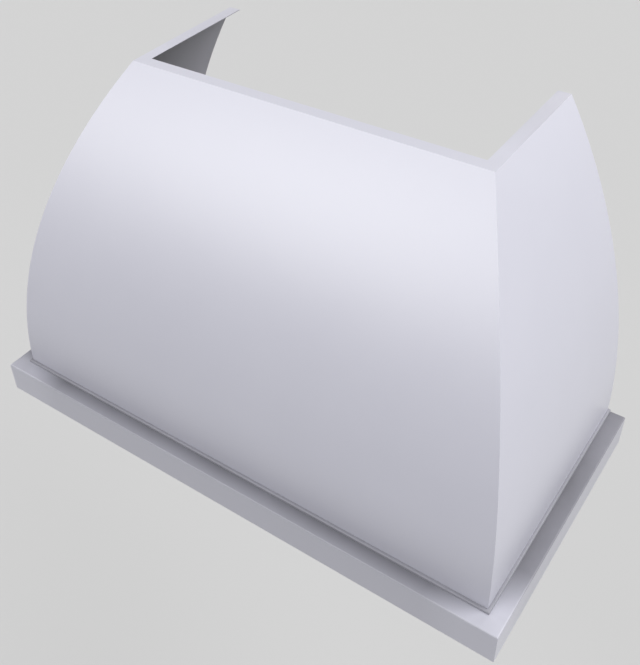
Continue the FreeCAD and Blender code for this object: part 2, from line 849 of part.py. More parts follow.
def filter_handle(label, x):
    # A bent wire bail whose turned-out ends sit in the filter's ears.
    body = new_body(label, x, pin_line + handle_line, pin_level + handle_level)
    tip = ear_start + size.ear_sheet + size.seat_gap
    half = handle_half
    turn = size.handle_pin_bend
    bend = size.handle_bend
    low = -size.handle_drop
    bail = [
        (-tip, zero),
        (-half - turn, zero),
        (-half, -turn, -half - turn, -turn, -1),
        (-half, low + bend),
        (bend - half, low, bend - half, low + bend, 1),
        (half - bend, low),
        (half, low + bend, half - bend, low + bend, 1),
        (half, -turn),
        (half + turn, zero, half + turn, -turn, -1),
        (tip, zero),
    ]
    path = sketch(body, "XZ_Plane", [bail], closed=False)
    section = sketch(body, "YZ_Plane", [(zero, zero, size.handle_wire_radius)], at=(zero, zero, -tip))
    pipe = body.newObject("PartDesign::AdditivePipe", "wire")
    pipe.Profile = section
    pipe.Spine = (path, [])


def filter_hooks():
    # Upright plates between the filters, each with a slot open upwards for the hinge pins.
    body = new_body("filter_hooks", zero, pin_line, pin_level)
    slot = size.pin_radius + size.running_clearance
    foot = deck_top - pin_level
    heel = -pin_line - size.plenum_rear - size.box_sheet - size.seat_gap
    edge = -pin_line - size.opening_rear
    outline = [
        (slot, zero, zero, zero, 1),
        (slot, size.hook_rise),
        (heel, size.hook_rise),
        (heel, foot),
        (edge, foot),
        (edge - size.hook_web, -size.hook_web),
        (-size.hook_web, -size.hook_web),
        (-size.hook_web, size.hook_rise),
        (-slot, size.hook_rise),
        (-slot, zero),
    ]
    for offset in spread(filter_count + 1, filter_pitch * filter_count):
        level = offset - size.hook_sheet / 2
        pad(body, sketch(body, "YZ_Plane", [outline], at=(zero, zero, level)), size.hook_sheet)


def filter_catches():
    # Leaf springs on the deck that bear on the front of each filter.
    body = new_body("filter_catches", zero, pin_line, deck_top)
    face = filter_front - size.catch_gap
    back = face - size.catch_sheet
    profile = [
        (face, zero),
        (face, size.catch_rise),
        (back, size.catch_rise),
        (back, size.catch_sheet),
        (back - size.catch_foot, size.catch_sheet),
        (back - size.catch_foot, zero),
    ]
    for offset in spread(filter_count, filter_pitch * (filter_count - 1)):
        level = offset - size.catch_width / 2
        pad(body, sketch(body, "YZ_Plane", [profile], at=(zero, zero, level)), size.catch_width)


# Plenum base and blower box

def open_box(body, outer, flange, height, level, ceiling_holes):
    # Four walls on an outward flange, closed above by a plate with the given holes.
    wall = size.box_sheet
    left, right, low, high = outer
    inner = rectangle(left + wall, right - wall, low + wall, high - wall)
    wide = rectangle(left - flange, right + flange, low - flange, high + flange)
    pad(body, sketch(body, "XY_Plane", [rectangle(*outer), inner], at=(zero, zero, level)), height)
    pad(body, sketch(body, "XY_Plane", [wide, inner], at=(zero, zero, level)), wall)
    pad(body, sketch(body, "XY_Plane", [rectangle(*outer)] + ceiling_holes,
                     at=(zero, zero, level + height - wall)), wall)


def plenum_base():
    body = new_body("plenum_base")
    box_half = size.box_width / 2 - size.box_sheet
    mouth = rectangle(-box_half, box_half, size.box_sheet - box_front, -size.box_rear - size.box_sheet)
    front = -opening_front - size.plenum_margin - size.catch_foot
    outer = (-plenum_half, plenum_half, front, -size.plenum_rear)
    open_box(body, outer, size.plenum_flange, size.plenum_height, deck_top, [mouth])


scroll_radius = size.scroll_radius * blower_scale
scroll_step = size.scroll_step * blower_scale
outlet_depth = size.outlet_depth * blower_scale
impeller_radius = size.impeller_radius * blower_scale
inlet_radius = size.inlet_radius * blower_scale
motor_radius = size.motor_radius * blower_scale
motor_flange_radius = motor_radius + size.motor_flange
motor_screw_circle = motor_radius + size.motor_screw_inset
outlet_rear = -(size.collar_line - outlet_depth / 2)
scroll_line = outlet_rear - scroll_radius
outlet_half = size.scroll_width / 2
collar_screw_line = size.collar_flange - size.collar_screw_inset


def collar_screw_places():
    line = collar_screw_line
    return [(line * across, line * along - size.collar_line) for across in (-1, 1) for along in (-1, 1)]


def blower_box():
    body = new_body("blower_box")
    half = size.box_width / 2
    inner = size.scroll_sheet
    outlet = rectangle(inner - outlet_half, outlet_half - inner,
                       outlet_rear - outlet_depth + inner, outlet_rear - inner)
    screws = [(x, y, screw_hole) for x, y in collar_screw_places()]
    outer = (-half, half, -box_front, -size.box_rear)
    open_box(body, outer, size.box_flange, box_height, plenum_top, [outlet] + screws)


# Blower

scroll_top = box_height - size.box_sheet - (scroll_radius + scroll_step / 2)
scroll_level = box_top - size.box_sheet - scroll_top
small_radius = scroll_radius - scroll_step
least_radius = small_radius - scroll_step
tongue_level = least_radius - scroll_step
outlet_inner = scroll_radius - outlet_depth


def scroll_path(inset, top):
    # Three quarter turns with shrinking radii, then a straight run to the tongue beside the outlet.
    step = scroll_step
    outer = scroll_radius - inset
    return [
        (outer, top),
        (outer, zero),
        (zero, -outer, zero, zero, -1),
        (inset - small_radius, -step, zero, -step, -1),
        (-step, tongue_level - inset, -step, -step, -1),
        (outlet_inner + inset, tongue_level - inset),
        (outlet_inner + inset, top),
    ]


def reversed_path(points):
    # The same open path walked from its other end.
    walked = []
    for index in range(len(points) - 1, -1, -1):
        here = points[index]
        follower = points[index + 1] if index + 1 < len(points) else here[:2]
        if len(follower) == 2:
            walked.append(here[:2])
        else:
            walked.append((here[0], here[1], follower[2], follower[3], -follower[4]))
    return walked


def scroll_wrap():
    body = new_body("scroll_wrap", zero, scroll_line, scroll_level)
    strip = scroll_path(zero, scroll_top) + reversed_path(scroll_path(size.scroll_sheet, scroll_top))
    width = size.scroll_width - size.scroll_sheet * 2
    pad(body, sketch(body, "YZ_Plane", [strip]), width, both_ways=True)
    half = width / 2
    flange = size.scroll_flange
    thin = size.scroll_sheet
    hole = rectangle(-half - thin, half + thin, outlet_inner + thin, scroll_radius - thin)
    edge = rectangle(-half - flange, half + flange, outlet_inner - flange, scroll_radius + flange)
    pad(body, sketch(body, "XY_Plane", [edge, hole], at=(zero, zero, scroll_top - thin)), thin)


def scroll_plate(label, side, hole_radius, extra_holes):
    body = new_body(label, zero, scroll_line, scroll_level)
    level = (size.scroll_width / 2 - size.scroll_sheet) * side
    outline = scroll_path(zero, scroll_top - size.scroll_sheet)
    holes = [(zero, zero, hole_radius)] + extra_holes
    pad(body, sketch(body, "YZ_Plane", [outline] + holes, at=(zero, zero, level)),
        size.scroll_sheet, backwards=side < 0)


def inlet_ring():
    # A flange on the inlet plate whose mouth curls into the scroll.
    body = new_body("inlet_ring", zero, scroll_line, scroll_level)
    lip = size.inlet_lip_radius
    thin = size.scroll_sheet
    face = -size.scroll_width / 2
    curl = inlet_radius - size.seat_gap
    mouth = curl - lip
    profile = [
        (face, curl + size.inlet_flange),
        (face, curl),
        (face + lip, mouth, face + lip, curl, 1),
        (face + lip, mouth - thin),
        (face - thin, curl, face + lip, curl, -1),
        (face - thin, curl + size.inlet_flange),
    ]
    revolve(body, sketch(body, "XZ_Plane", [profile]), "H_Axis")


def impeller():
    # Back disc with hub, forward-curved blades and a front ring.
    body = new_body("impeller", zero, scroll_line, scroll_level)
    half = size.impeller_length / 2
    bore = size.shaft_radius + size.running_clearance
    disc = size.impeller_disc
    hub_end = half - size.hub_length
    profile = [
        (half, bore),
        (half, impeller_radius),
        (half - disc, impeller_radius),
        (half - disc, size.hub_radius),
        (hub_end, size.hub_radius),
        (hub_end, bore),
    ]
    revolve(body, sketch(body, "XZ_Plane", [profile]), "H_Axis")
    heel = impeller_radius - size.blade_depth
    tip = impeller_radius - size.blade_sheet
    middle = (heel + tip) / 2
    thin = size.blade_sheet
    reach = (tip - heel) / 2
    bow = size.blade_bow
    back = (reach * reach - bow * bow) / (bow * 2)
    blade = [
        (zero, heel, -back, middle, -1),
        (thin, heel),
        (thin, tip, thin - back, middle, 1),
        (zero, tip),
    ]
    drawn = sketch(body, "YZ_Plane", [blade], at=(zero, zero, -half))
    first = pad(body, drawn, size.impeller_length)
    pattern = body.newObject("PartDesign::PolarPattern", "blades")
    pattern.Originals = [first]
    pattern.Axis = (drawn, ["N_Axis"])
    pattern.Angle = 360
    pattern.setExpression("Occurrences", size.blade_count.text)
    body.Tip = pattern
    ring = [(zero, zero, impeller_radius), (zero, zero, heel)]
    pad(body, sketch(body, "YZ_Plane", ring, at=(zero, zero, -half)), size.impeller_ring)


motor_face = size.scroll_width / 2


def motor_shaft():
    body = new_body("motor_shaft", zero, scroll_line, scroll_level)
    start = size.impeller_length / 2 - size.hub_length
    end = motor_face + size.shaft_depth - size.seat_gap
    section = [(zero, zero, size.shaft_radius)]
    pad(body, sketch(body, "YZ_Plane", section, at=(zero, zero, start)), end - start)


def motor_screw_places():
    line = motor_screw_circle / math.sqrt(2)
    return [(line * across, line * up) for across in (-1, 1) for up in (-1, 1)]


def motor():
    body = new_body("motor", zero, scroll_line, scroll_level)
    bore = size.shaft_radius + size.running_clearance
    start = motor_face
    flange = start + size.motor_flange_thickness
    end = start + size.motor_length
    soft = size.motor_round
    profile = [
        (start, bore),
        (start, motor_flange_radius),
        (flange, motor_flange_radius),
        (flange, motor_radius),
        (end - soft, motor_radius),
        (end, motor_radius - soft, end - soft, motor_radius - soft, -1),
        (end, zero),
        (start + size.shaft_depth, zero),
        (start + size.shaft_depth, bore),
    ]
    revolve(body, sketch(body, "XZ_Plane", [profile]), "H_Axis")
    holes = [(y, z, screw_hole) for y, z in motor_screw_places()]
    cut(body, sketch(body, "YZ_Plane", holes, at=(zero, zero, flange)), size.motor_flange_thickness)


def motor_screws():
    body = new_body("motor_screws", zero, scroll_line, scroll_level)
    face = motor_face + size.motor_flange_thickness
    heads = [(y, z, size.screw_head_radius) for y, z in motor_screw_places()]
    shanks = [(y, z, size.screw_radius) for y, z in motor_screw_places()]
    length = size.motor_flange_thickness + size.scroll_sheet
    pad(body, sketch(body, "YZ_Plane", heads, at=(zero, zero, face)), size.screw_head_height)
    pad(body, sketch(body, "YZ_Plane", shanks, at=(zero, zero, face - length)), length)


# Duct collar and damper

rod_level = box_top + size.rod_height
flap_radius = size.collar_radius - size.collar_sheet - size.flap_gap


def duct_collar():
    body = new_body("duct_collar", zero, -size.collar_line, box_top)
    bore = size.collar_radius - size.collar_sheet
    wide = size.collar_flange
    screws = [(x, y + size.collar_line, screw_hole) for x, y in collar_screw_places()]
    base = rectangle(-wide, wide, -wide, wide)
    pad(body, sketch(body, "XY_Plane", [base, (zero, zero, bore)] + screws), size.collar_sheet)
    tube = [(zero, zero, size.collar_radius), (zero, zero, bore)]
    pad(body, sketch(body, "XY_Plane", tube), size.collar_height)
    rod_hole = (zero, size.rod_height, size.rod_radius + size.running_clearance)
    cut(body, sketch(body, "YZ_Plane", [rod_hole]))
    half = size.stop_width / 2
    level = size.rod_height - size.flap_sheet / 2 - size.seat_gap - size.stop_sheet
    edge = root(bore * bore - half * half)
    for way in (1, -1):
        far = (bore + size.collar_sheet / 2) * way
        near = (edge - size.stop_depth) * way
        stop = rectangle(-half, half, near, far)
        pad(body, sketch(body, "XY_Plane", [stop], at=(zero, zero, level)), size.stop_sheet)


def damper_rod():
    body = new_body("damper_rod", zero, -size.collar_line, rod_level)
    length = (size.collar_radius - size.seat_gap) * 2
    pad(body, sketch(body, "YZ_Plane", [(zero, zero, size.rod_radius)]), length, both_ways=True)


def damper_flap(label, way):
    # A half disc with two knuckles on the rod, between the knuckles of the other flap.
    body = new_body(label, zero, -size.collar_line, rod_level)
    near = size.flap_setback
    reach = root(flap_radius * flap_radius - near * near)
    half_disc = [(reach, near), (-reach, near, zero, zero, 1)]
    if way < 0:
        half_disc = [(-reach, -near), (reach, -near, zero, zero, 1)]
    low = -size.flap_sheet / 2
    pad(body, sketch(body, "XY_Plane", [half_disc], at=(zero, zero, low)), size.flap_sheet)
    pitch = size.knuckle_length + size.knuckle_gap
    starts = [pitch * place + size.knuckle_gap / 2 for place in ((-2, 1) if way > 0 else (-1, 0))]
    for start in starts:
        tongue = rectangle(start, start + size.knuckle_length, zero, (near + size.flap_sheet) * way)
        pad(body, sketch(body, "XY_Plane", [tongue], at=(zero, zero, low)), size.flap_sheet)
        pad(body, sketch(body, "YZ_Plane", [(zero, zero, size.knuckle_radius)], at=(zero, zero, start)),
            size.knuckle_length)
    bore = (zero, zero, size.rod_radius + size.running_clearance)
    cut(body, sketch(body, "YZ_Plane", [bore]))


def collar_screws():
    body = new_body("collar_screws", zero, zero, box_top)
    heads = [(x, y, size.screw_head_radius) for x, y in collar_screw_places()]
    shanks = [(x, y, size.screw_radius) for x, y in collar_screw_places()]
    length = size.collar_sheet + size.box_sheet
    pad(body, sketch(body, "XY_Plane", heads, at=(zero, zero, size.collar_sheet)), size.screw_head_height)
    pad(body, sketch(body, "XY_Plane", shanks, at=(zero, zero, -size.box_sheet)), length)


# Lamps and controls

def lamp(side_name, way):
    x = lamp_side * way
    y = -apron_line
    housing = new_body(f"{side_name}_lamp_housing", x, y, deck_level)
    wall = size.lamp_wall
    crown = size.lamp_radius - size.lamp_crown
    inner = size.lamp_radius - wall
    roof = size.lamp_height - wall
    can = [
        (inner, zero),
        (size.lamp_radius, zero),
        (size.lamp_radius, size.lamp_height - size.lamp_crown),
        (crown, size.lamp_height, crown, size.lamp_height - size.lamp_crown, 1),
        (zero, size.lamp_height),
        (zero, roof),
        (crown, roof),
        (inner, size.lamp_height - size.lamp_crown, crown, size.lamp_height - size.lamp_crown, -1),
    ]
    revolve(housing, sketch(housing, "XZ_Plane", [can]))
    bezel = new_body(f"{side_name}_lamp_bezel", x, y, deck_level)
    soft = size.bezel_round
    low = -size.bezel_thickness
    recess = size.lens_radius + size.hole_clearance
    ring = [
        (size.bezel_radius, zero),
        (recess, zero),
        (recess, -size.lens_seat),
        (size.bezel_opening_radius, -size.lens_seat),
        (size.bezel_opening_radius, low),
        (size.bezel_radius - soft, low),
        (size.bezel_radius, low + soft, size.bezel_radius - soft, low + soft, 1),
    ]
    revolve(bezel, sketch(bezel, "XZ_Plane", [ring]))
    lens = new_body(f"{side_name}_lamp_lens", x, y, deck_level)
    pad(lens, sketch(lens, "XY_Plane", [(zero, zero, size.lens_radius)], at=(zero, zero, -size.lens_seat)),
        size.lens_thickness)


def rounded_rectangle(half_u, half_v, corner):
    u = half_u - corner
    v = half_v - corner
    return [
        (half_u, -v, u, -v, 1),
        (half_u, v),
        (u, half_v, u, v, 1),
        (-u, half_v),
        (-half_u, v, -u, v, 1),
        (-half_u, -v),
        (-u, -half_v, -u, -v, 1),
        (u, -half_v),
    ]


button_count = driving_sizes["button_count"]
button_offsets = spread(button_count, size.button_pitch * (button_count - 1))


def control_plate():
    body = new_body("control_plate", zero, -apron_line, deck_level)
    outline = rounded_rectangle(size.control_width / 2, size.control_depth / 2, size.control_corner)
    holes = [(x, zero, size.button_radius + size.running_clearance) for x in button_offsets]
    pad(body, sketch(body, "XY_Plane", [outline] + holes, at=(zero, zero, -size.control_thickness)),
        size.control_thickness)


def push_button(label, x):
    body = new_body(label, x, -apron_line, deck_level)
    low = -size.control_thickness - size.button_proud
    soft = size.button_edge
    flange_low = size.button_lift
    flange_high = flange_low + size.button_flange_thickness
    profile = [
        (zero, low),
        (size.button_radius - soft, low),
        (size.button_radius, low + soft, size.button_radius - soft, low + soft, 1),
        (size.button_radius, flange_low),
        (size.button_flange_radius, flange_low),
        (size.button_flange_radius, flange_high),
        (size.button_stem_radius, flange_high),
        (size.button_stem_radius, size.button_stem_height),
        (zero, size.button_stem_height),
    ]
    revolve(body, sketch(body, "XZ_Plane", [profile]))


def switch_box():
    body = new_body("switch_box")
    half = size.switch_box_width / 2
    deep = size.switch_box_depth / 2
    outer = (-half, half, -apron_line - deep, deep - apron_line)
    open_box(body, outer, size.switch_box_flange, size.switch_box_height, deck_top, [])


def switch_block():
    body = new_body("switch_block", zero, -apron_line, deck_level)
    half = size.switch_block_width / 2
    deep = size.switch_block_depth / 2
    low = size.button_stem_height + size.button_travel + size.seat_gap
    roof = size.liner_sheet + size.switch_box_height - size.box_sheet
    outline = rectangle(-half, half, -deep, deep)
    pad(body, sketch(body, "XY_Plane", [outline], at=(zero, zero, low)), roof - low)


# Wiring boxes

def junction_box():
    half = size.junction_width / 2
    deep = size.junction_depth / 2
    wall = size.box_sheet
    body = new_body("junction_box", -junction_side, -size.junction_line, plenum_top)
    outer = rectangle(-half, half, -deep, deep)
    inner = rectangle(wall - half, half - wall, wall - deep, deep - wall)
    pad(body, sketch(body, "XY_Plane", [outer]), wall)
    pad(body, sketch(body, "XY_Plane", [outer, inner]), size.junction_height)
    entry = (zero, size.junction_height / 2, size.gland_radius + size.running_clearance)
    cut(body, sketch(body, "YZ_Plane", [entry], at=(zero, zero, wall * 2 - half)), wall * 3)
    cover = new_body("junction_cover", -junction_side, -size.junction_line, plenum_top + size.junction_height)
    lip = size.seat_gap + wall
    gap = size.seat_gap
    wide = rectangle(-half - lip, half + lip, -deep - lip, deep + lip)
    around = rectangle(-half - gap, half + gap, -deep - gap, deep + gap)
    pad(cover, sketch(cover, "XY_Plane", [wide]), wall)
    pad(cover, sketch(cover, "XY_Plane", [wide, around], at=(zero, zero, -size.gland_nut_length)),
        size.gland_nut_length)


def cable_gland():
    # A threaded body through the box wall with a nut on each side and an open bore.
    half = size.junction_width / 2
    body = new_body("cable_gland", -junction_side - half, -size.junction_line,
                    plenum_top + size.junction_height / 2)
    nut = size.gland_nut_length
    inside = size.box_sheet + nut
    outside = size.gland_length - inside
    profile = [
        (inside, size.gland_bore_radius),
        (inside, size.gland_nut_radius),
        (size.box_sheet, size.gland_nut_radius),
        (size.box_sheet, size.gland_radius),
        (zero, size.gland_radius),
        (zero, size.gland_nut_radius),
        (-nut, size.gland_nut_radius),
        (-nut, size.gland_radius),
        (-outside, size.gland_radius - size.box_sheet),
        (-outside, size.gland_bore_radius),
    ]
    revolve(body, sketch(body, "XZ_Plane", [profile]), "H_Axis")


def capacitor():
    # A round can lying on a saddle foot.
    body = new_body("capacitor", junction_side, -size.junction_line, plenum_top)
    half = size.capacitor_length / 2
    axis = size.capacitor_radius + size.box_sheet
    soft = size.capacitor_round
    can = [
        (-half, zero),
        (half, zero),
        (half, size.capacitor_radius - soft),
        (half - soft, size.capacitor_radius, half - soft, size.capacitor_radius - soft, 1),
        (soft - half, size.capacitor_radius),
        (-half, size.capacitor_radius - soft, soft - half, size.capacitor_radius - soft, 1),
    ]
    revolve(body, sketch(body, "XZ_Plane", [can], at=(zero, axis, zero)), "H_Axis")
    foot_half = size.capacitor_foot_depth / 2
    saddle = [
        (-foot_half, zero),
        (foot_half, zero),
        (foot_half, size.box_sheet),
        (size.capacitor_radius, axis),
        (-size.capacitor_radius, axis),
        (-foot_half, size.box_sheet),
    ]
    pad(body, sketch(body, "YZ_Plane", [saddle]), size.capacitor_foot_width, both_ways=True)


def blower():
    scroll_wrap()
    scroll_plate("scroll_inlet_plate", -1, inlet_radius, [])
    motor_holes = [(y, z, screw_hole) for y, z in motor_screw_places()]
    scroll_plate("scroll_motor_plate", 1, size.shaft_hole_radius, motor_holes)
    inlet_ring()
    impeller()
    motor_shaft()
    motor()
    motor_screws()


def filters():
    places = spread(filter_count, filter_pitch * (filter_count - 1))
    for name, x in zip(("left", "middle", "right"), places):
        filter_frame(f"{name}_filter_frame", x)
        filter_baffles(f"{name}_filter_baffles", x)
        filter_handle(f"{name}_filter_handle", x)
    filter_hooks()
    filter_catches()


def controls():
    control_plate()
    for name, x in zip(("lamp", "power", "low_speed", "medium_speed", "high_speed"), button_offsets):
        push_button(f"{name}_button", x)
    switch_box()
    switch_block()


def write_pieces():
    doc.recompute()
    for item in doc.Objects:
        if "Invalid" in item.State or "Error" in item.State:
            raise RuntimeError(f"{item.Label} of {getattr(item, '_Body', None)} failed: {item.State}")
    for body in pieces:
        if body.Shape.isNull() or not body.Shape.isValid():
            raise RuntimeError(f"{body.Label} has no valid shape")
    os.makedirs("parts", exist_ok=True)
    for body in pieces:
        body.Shape.exportStep(os.path.join("parts", f"{body.Label}.step"))
        print(body.Label, len(body.Shape.Solids), round(body.Shape.Volume))


front_panel()
side_panel("left_side_panel", -1)
side_panel("right_side_panel", 1)
canopy_rivets()
front_rim()
side_rim("left_rim", -1)
side_rim("right_rim", 1)
foot_trim()
wall_plate()
rear_rail()
rail_screws()
liner_pan()
liner_screws()
filters()
plenum_base()
blower_box()
blower()
duct_collar()
damper_rod()
damper_flap("rear_damper_flap", 1)
damper_flap("front_damper_flap", -1)
collar_screws()
lamp("left", -1)
lamp("right", 1)
controls()
junction_box()
cable_gland()
capacitor()
write_pieces()
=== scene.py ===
import json
import math

import bmesh
import bpy
from mathutils import Matrix, Vector


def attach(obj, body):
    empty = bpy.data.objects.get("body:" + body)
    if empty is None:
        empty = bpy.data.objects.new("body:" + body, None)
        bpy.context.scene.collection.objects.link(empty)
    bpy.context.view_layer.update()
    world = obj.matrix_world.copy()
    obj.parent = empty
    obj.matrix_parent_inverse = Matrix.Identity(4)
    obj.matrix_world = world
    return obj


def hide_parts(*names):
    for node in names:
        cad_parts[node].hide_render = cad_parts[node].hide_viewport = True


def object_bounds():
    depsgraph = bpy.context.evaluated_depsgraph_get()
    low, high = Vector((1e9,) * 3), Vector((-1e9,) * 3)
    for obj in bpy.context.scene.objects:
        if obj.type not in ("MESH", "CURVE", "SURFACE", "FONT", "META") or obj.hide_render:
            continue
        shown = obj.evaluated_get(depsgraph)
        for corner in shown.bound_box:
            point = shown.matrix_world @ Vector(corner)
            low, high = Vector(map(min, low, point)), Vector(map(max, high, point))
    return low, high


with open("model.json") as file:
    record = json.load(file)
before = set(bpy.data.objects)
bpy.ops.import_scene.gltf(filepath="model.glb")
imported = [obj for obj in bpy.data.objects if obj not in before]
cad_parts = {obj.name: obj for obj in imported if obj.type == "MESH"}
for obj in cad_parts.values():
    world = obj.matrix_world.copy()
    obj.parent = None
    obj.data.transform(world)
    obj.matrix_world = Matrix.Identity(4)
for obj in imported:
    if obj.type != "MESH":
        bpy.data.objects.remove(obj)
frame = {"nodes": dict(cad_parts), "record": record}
cadBox = [list(corner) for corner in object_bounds()]
print("frame loaded:", len(frame["nodes"]), "nodes")


# Shader arithmetic: a Flow is one socket's value, and + - * / on it add Math nodes

class Flow:
    def __init__(self, nodes, socket):
        self.nodes = nodes
        self.socket = socket

    def maths(self, operation, first, second):
        return self.nodes.node("ShaderNodeMath", {"operation": operation}, {0: first, 1: second})

    def __add__(self, other):
        return self.maths("ADD", self, other)

    def __sub__(self, other):
        return self.maths("SUBTRACT", self, other)

    def __rsub__(self, other):
        return self.maths("SUBTRACT", other, self)

    def __mul__(self, other):
        return self.maths("MULTIPLY", self, other)

    def __truediv__(self, other):
        return self.maths("DIVIDE", self, other)

    def __rtruediv__(self, other):
        return self.maths("DIVIDE", other, self)

    __radd__ = __add__
    __rmul__ = __mul__

    def __lt__(self, other):
        return self.maths("LESS_THAN", self, other)

    def __abs__(self):
        return self.maths("ABSOLUTE", self, 0.0)

    def larger(self, other):
        return self.maths("MAXIMUM", self, other)

    def clamped(self):
        return self.nodes.node("ShaderNodeClamp", {}, {"Value": self})

    # two patterns in one, from 0 to 1
    def mixed(self, other, share):
        return (self * share + other * (1.0 - share)).clamped()

    # a pattern from 0 to 1 turned into a swing about zero
    def swing(self, width):
        return (self - 0.5) * width


# the node tree of a finish or of the world
class Nodes:
    def __init__(self, tree):
        self.tree = tree

    def plug(self, socket, value):
        if isinstance(value, Flow):
            self.tree.links.new(value.socket, socket)
        else:
            socket.default_value = value

    # any node: its type, its settings, then the values or links of its sockets
    def node(self, kind, settings, inputs, output=0):
        made = self.tree.nodes.new(kind)
        for name, value in settings.items():
            setattr(made, name, value)
        for name, value in inputs.items():
            self.plug(made.inputs[name], value)
        return Flow(self, made.outputs[output])


class Finish(Nodes):
    def __init__(self, name, **constants):
        self.material = bpy.data.materials.new(name)
        self.material.use_nodes = True
        super().__init__(self.material.node_tree)
        self.tree.nodes.clear()
        self.shader = self.tree.nodes.new("ShaderNodeBsdfPrincipled")
        self.out = self.tree.nodes.new("ShaderNodeOutputMaterial")
        self.show(Flow(self, self.shader.outputs[0]))
        self.place = self.node("ShaderNodeTexCoord", {}, {}, "Object")
        self.feed(**constants)

    def show(self, surface):
        self.plug(self.out.inputs["Surface"], surface)

    def feed(self, **values):
        for socket, value in values.items():
            self.plug(self.shader.inputs[socket.replace("_", " ")], value)

    # patterns lie on object coordinates, in metres
    def axis(self, name):
        return self.node("ShaderNodeSeparateXYZ", {}, {"Vector": self.place}, name)

    def noise(self, scale, detail=2.0, rough=0.55, where=None):
        inputs = {"Vector": where or self.place, "Scale": scale, "Detail": detail,
                  "Roughness": rough}
        return self.node("ShaderNodeTexNoise", {}, inputs, "Fac")

    # inputs 6 and 7 and output 2 are the colours of a Mix node
    def between(self, factor, low, high):
        inputs = {"Factor": factor, 6: low, 7: high}
        return self.node("ShaderNodeMix", {"data_type": "RGBA"}, inputs, 2)

    def bump(self, height, distance):
        inputs = {"Height": height, "Distance": distance}
        self.feed(Normal=self.node("ShaderNodeBump", {}, inputs))


def srgb(red, green, blue):
    def linear(value):
        share = value / 255
        return share / 12.92 if share <= 0.04045 else ((share + 0.055) / 1.055) ** 2.4
    return (linear(red), linear(green), linear(blue), 1.0)


# Finishes, one for each slot of the record

coat = {
    "pale": srgb(227, 227, 239), "deep": srgb(220, 220, 233), "ior": 1.5,
    "roughness": 0.42, "roughSwing": 0.05, "coatRoughness": 0.4,
    "mottleScale": 7.0, "mottleShare": 0.7, "speckScale": 1300.0,
    "peelScale": 520.0, "peelRough": 0.4, "peelDepth": 0.00006,
    "dullRough": 0.12, "dullCoat": 0.7,
    # painted shade: the shaded tones get paler from the front of the hood to the wall
    "shadeRun": (-0.24, -0.02), "runShare": 0.9, "runSwing": 0.25, "runStart": 0.05,
    "ledgeLevel": -0.13,  # top of the rim, which the canopy stands on
}


# satin paint with a fine orange peel; where the mask says so it turns into a darker pair of tones,
# which are painted shade
def paint(name, shadeDeep, shadePale, mask):
    finish = Finish(name, IOR=coat["ior"], Coat_IOR=coat["ior"],
                    Coat_Roughness=coat["coatRoughness"])
    finish.mottle = finish.noise(coat["mottleScale"], detail=4.0)
    speck = finish.noise(coat["speckScale"])
    blend = finish.mottle.mixed(speck, coat["mottleShare"])
    clean = finish.between(blend, coat["deep"], coat["pale"])
    first, last = coat["shadeRun"]
    finish.rearward = ((finish.axis("Y") - first) / (last - first)).clamped()
    tone = finish.rearward * coat["runShare"] + finish.mottle.swing(coat["runSwing"])
    # painted shade, darker at the front of the hood and paler towards the wall
    dull = finish.between((tone + coat["runStart"]).clamped(), shadeDeep, shadePale)
    amount = mask(finish)
    grain = finish.mottle.swing(coat["roughSwing"]) + speck.swing(coat["roughSwing"])
    finish.feed(Base_Color=finish.between(amount, clean, dull))
    finish.feed(Roughness=coat["roughness"] + grain + amount * coat["dullRough"])
    finish.feed(Coat_Weight=1.0 - amount * coat["dullCoat"])
    finish.bump(finish.noise(coat["peelScale"], rough=coat["peelRough"]), coat["peelDepth"])
    return finish.material


panel = {
    # the inner faces' two tones are painted shade
    "innerShadePale": srgb(178, 177, 186), "innerShadeDeep": srgb(98, 97, 104),
    "heart": (0.0, -0.15, 0.2),  # faces that look towards this point are inner ones
    "levelFrom": 0.93, "levelRun": 0.05, "levelShade": 0.2, "levelShadeMottle": 0.1, "levelShadeRearward": 0.4,
    "footBand": 0.17, "foot": 0.27, "footMottle": 0.1,
    "trimHeight": 0.006, "seamBand": 0.007, "seam": 0.45,
}


# painted shade: darker on the inner faces, on the level tops (more towards the wall) and towards
# the foot's seam above the trim
def innerFaces(finish):
    facing = finish.node("ShaderNodeTexCoord", {}, {}, "Normal")
    out = finish.node("ShaderNodeVectorMath", {"operation": "SUBTRACT"},
                      {0: finish.place, 1: panel["heart"]})
    along = finish.node("ShaderNodeVectorMath", {"operation": "DOT_PRODUCT"},
                        {0: facing, 1: out}, "Value")
    rise = finish.node("ShaderNodeSeparateXYZ", {}, {"Vector": facing}, "Z")
    level = ((rise - panel["levelFrom"]) / panel["levelRun"]).clamped()
    # painted shade on the level tops, more towards the wall
    levelBase = panel["levelShade"] + finish.mottle * panel["levelShadeMottle"]
    levelShade = level * (levelBase + finish.rearward * panel["levelShadeRearward"])
    height = finish.axis("Z") - coat["ledgeLevel"]
    # painted shade towards the canopy's foot and a painted shadow line just above the trim
    low = (1.0 - height / panel["footBand"]).clamped()
    foot = low * low * (panel["foot"] + finish.mottle * panel["footMottle"])
    seam = (1.0 - (height - panel["trimHeight"]) / panel["seamBand"]).clamped() * panel["seam"]
    return (along < 0.0).larger(levelShade).larger(foot.larger(seam))


rimShade = {
    # tones of the painted shade on the rim and trims
    "pale": srgb(104, 103, 110), "deep": srgb(88, 87, 93), "swing": 0.2,
    "footHalf": 0.5715, "ledgeWidth": 0.0381, "cornerRun": 0.11, "cornerShare": 0.4,
    "frontLeast": 0.62, "sideLeast": 0.8, "most": 0.92,
    "bandShare": 0.36, "edgeRun": 0.002, "edgeShift": 1.5,
    "trim": 0.62, "trimMottle": 0.15,
}
